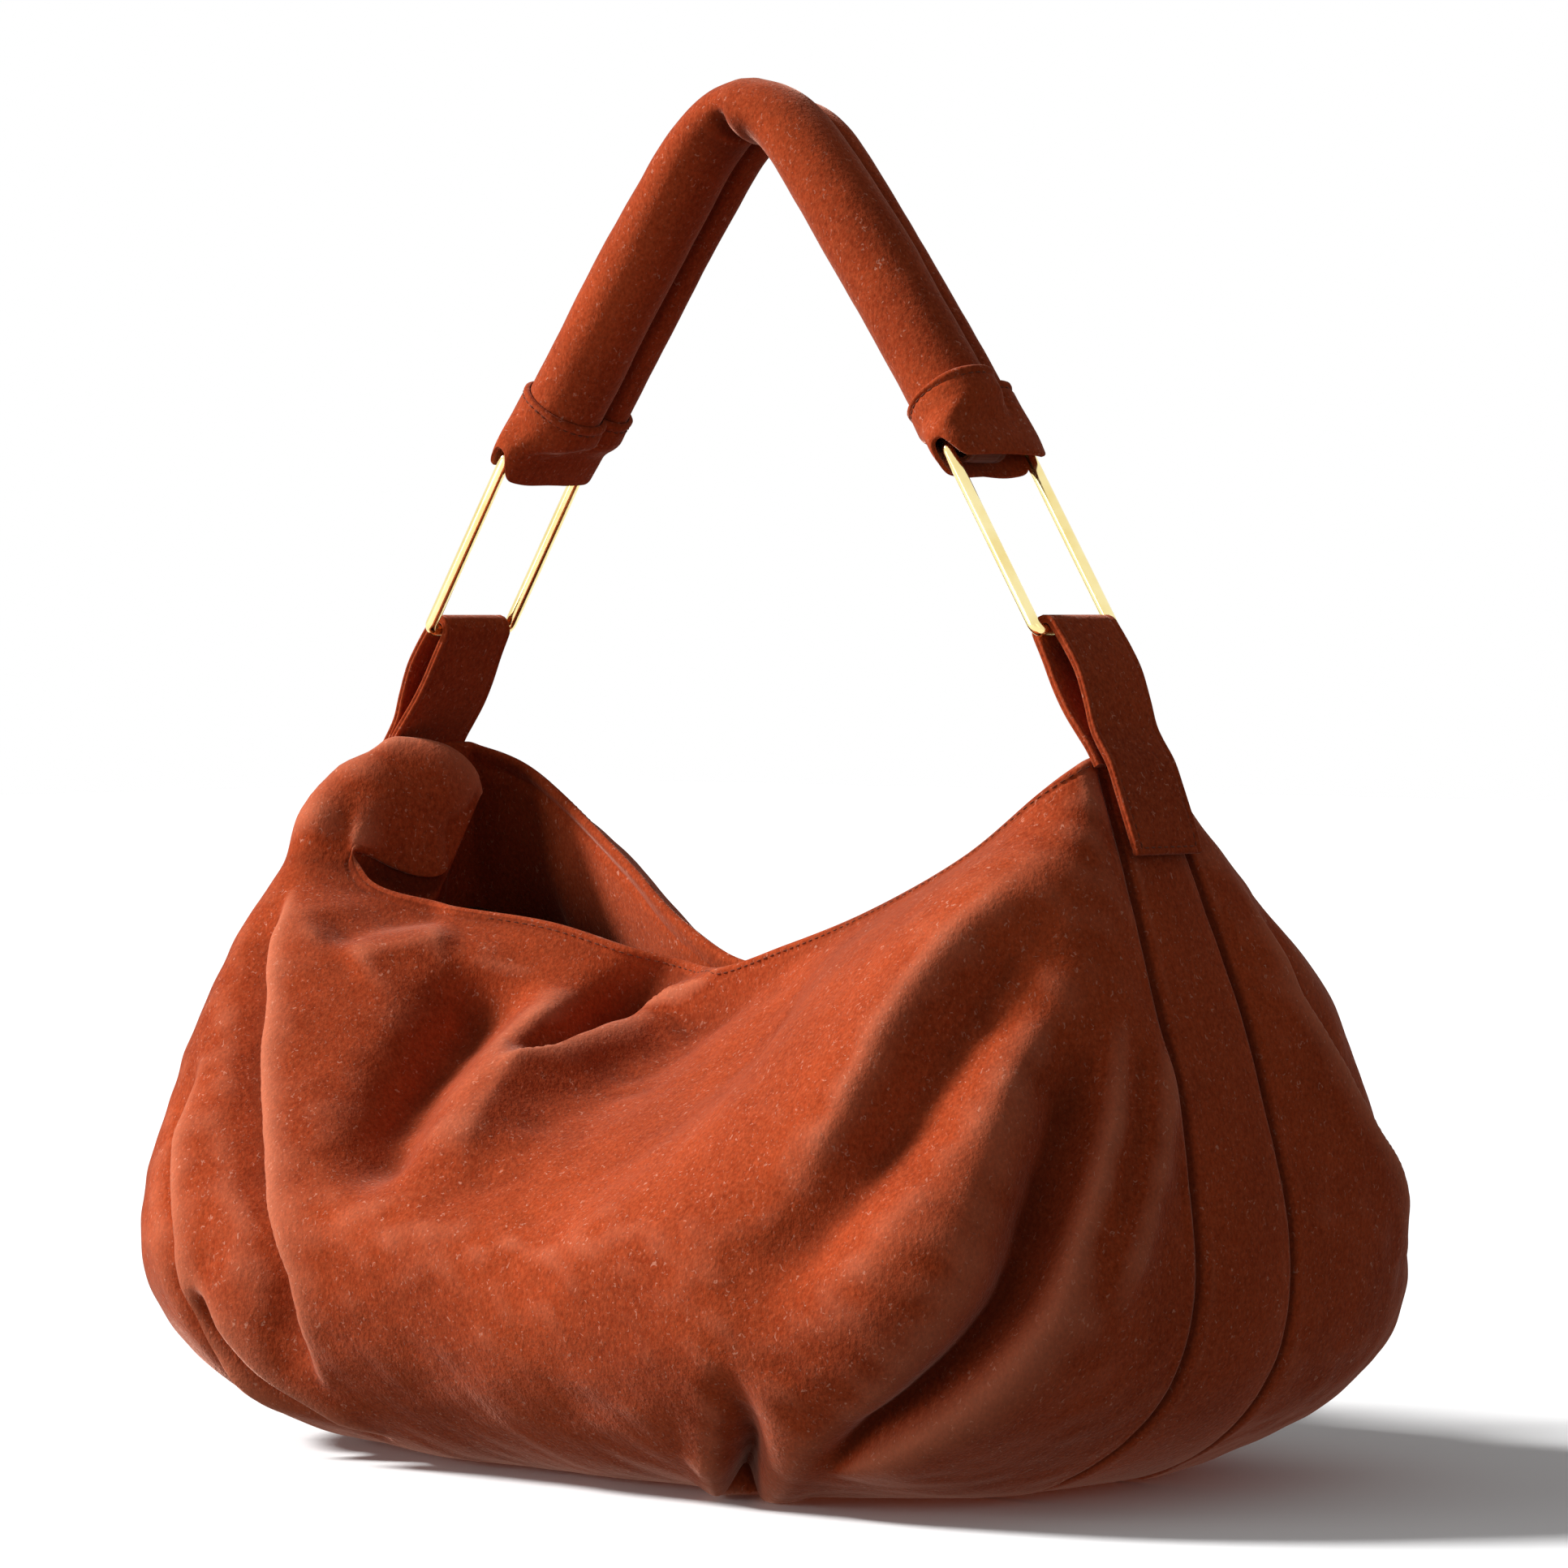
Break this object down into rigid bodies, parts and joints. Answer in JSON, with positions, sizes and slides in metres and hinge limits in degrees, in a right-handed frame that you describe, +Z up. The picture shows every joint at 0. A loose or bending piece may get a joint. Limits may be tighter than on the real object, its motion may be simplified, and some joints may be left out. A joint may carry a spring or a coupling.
{
  "type": "hobo shoulder bag",
  "caption": "Slouchy suede hobo shoulder bag with a sagging mouth, a magnetic snap, tab straps, rectangular wire rings and a padded arched handle.",
  "frame": {"origin": "middle of the base, on the surface the bag stands on", "axes": "+X along the bag to its right end, -Y out of its front, +Z up through the handle's apex"},
  "size_m": [0.381, 0.254, 0.4101],
  "materials": {
    "rust_suede": "rust brown suede, matte nap",
    "lining_cloth": "plain woven lining",
    "board": "stiffener board",
    "foam": "soft filling",
    "webbing": "woven reinforcement",
    "polished_brass": "polished gold tone",
    "snap_metal": "plated"
  },
  "bodies": {
    "bag": {"front_panel": "rust_suede", "back_panel": "rust_suede", "left_gusset": "rust_suede", "right_gusset": "rust_suede", "base_panel": "rust_suede", "base_board": "board", "front_facing": "rust_suede", "back_facing": "rust_suede", "front_lining": "lining_cloth", "back_lining": "lining_cloth", "snap_stud": "snap_metal", "snap_socket": "snap_metal", "snap_front_washer": "snap_metal", "snap_back_washer": "snap_metal", "left_tab_patch": "rust_suede", "right_tab_patch": "rust_suede", "left_tab_flex": "rust_suede", "right_tab_flex": "rust_suede"},
    "yoke": {"left_tab_loop": "rust_suede", "right_tab_loop": "rust_suede"},
    "left_ring": {"left_ring": "polished_brass"},
    "right_ring": {"right_ring": "polished_brass"},
    "handle": {"handle_cover": "rust_suede", "handle_core": "foam", "left_cuff": "rust_suede", "right_cuff": "rust_suede", "left_end_loop": "webbing", "right_end_loop": "webbing"}
  },
  "joints": [
    {"name": "handle_lean", "type": "hinge", "parent": "bag", "child": "yoke", "pos_m": [0, 0, 0.213], "axis": [1, 0, 0], "range_deg": [-50, 50], "deforming": ["left_tab_flex", "right_tab_flex"]},
    {"name": "left_ring_swing", "type": "hinge", "parent": "yoke", "child": "left_ring", "pos_m": [-0.1245, 0, 0.246], "axis": [0, 1, 0], "range_deg": [-7, 7]},
    {"name": "right_ring_swing", "type": "hinge", "parent": "yoke", "child": "right_ring", "pos_m": [0.1245, 0, 0.246], "axis": [0, 1, 0], "range_deg": [-7.1, 7.1]},
    {"name": "handle_sway", "type": "hinge", "parent": "left_ring", "child": "handle", "pos_m": [-0.0896, 0, 0.2997], "axis": [0, 1, 0], "range_deg": [-10, 10]}
  ],
  "couplings": [
    {"joint": "right_ring_swing", "follows": "left_ring_swing", "ratio": 1},
    {"joint": "handle_sway", "follows": "left_ring_swing", "ratio": -1.3888}
  ]
}
